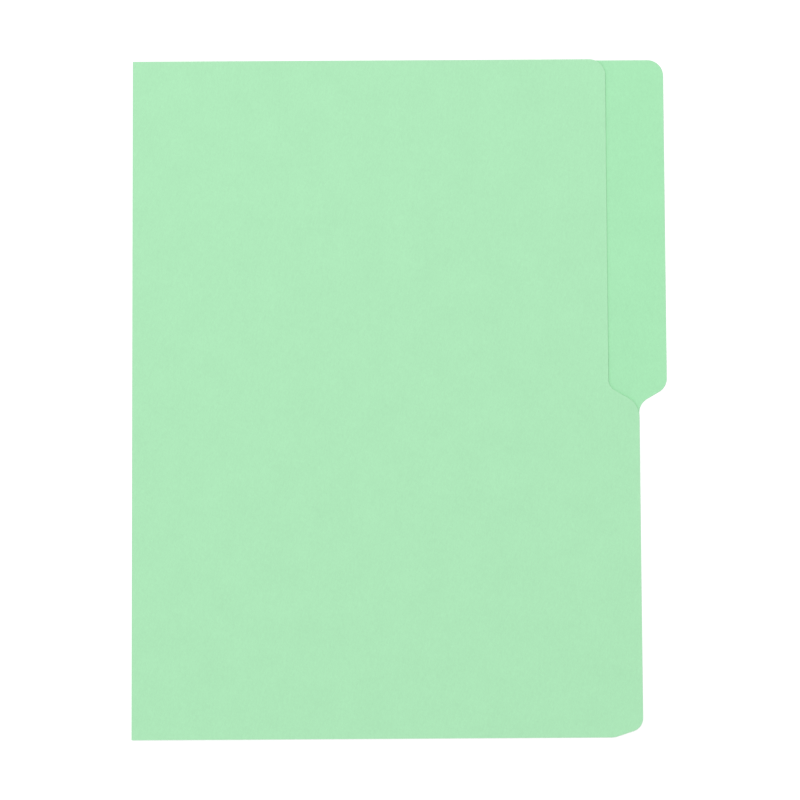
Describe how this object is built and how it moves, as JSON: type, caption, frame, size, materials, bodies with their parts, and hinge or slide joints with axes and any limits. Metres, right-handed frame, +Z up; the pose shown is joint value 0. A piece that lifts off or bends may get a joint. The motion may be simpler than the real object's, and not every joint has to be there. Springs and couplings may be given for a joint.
{
  "type": "tabbed card file folder",
  "caption": "Plain green card folder with a half-cut tab, closed and lying flat; the front leaf opens on the spine fold, and score lines beside the fold allow a wider spine.",
  "frame": {"origin": "centre of the closed folder's bounding box, on the surface it lies on", "axes": "+Z up out of the front leaf, +Y along the spine towards the half with the tab, +X from the spine to the tab"},
  "size_m": [0.2353, 0.2984, 0.0011],
  "materials": {
    "green_card": "matt uncoated card, dyed pale green right through"
  },
  "bodies": {
    "back_leaf": {"back_leaf": "green_card", "spine_fold": "green_card"},
    "front_leaf": {"front_leaf": "green_card"}
  },
  "joints": [
    {"name": "front_leaf_open", "type": "hinge", "parent": "back_leaf", "child": "front_leaf", "pos_m": [-0.1171, 0, 0.00055], "axis": [0, -1, 0], "range_deg": [0, 179], "deforming": ["spine_fold"]}
  ]
}
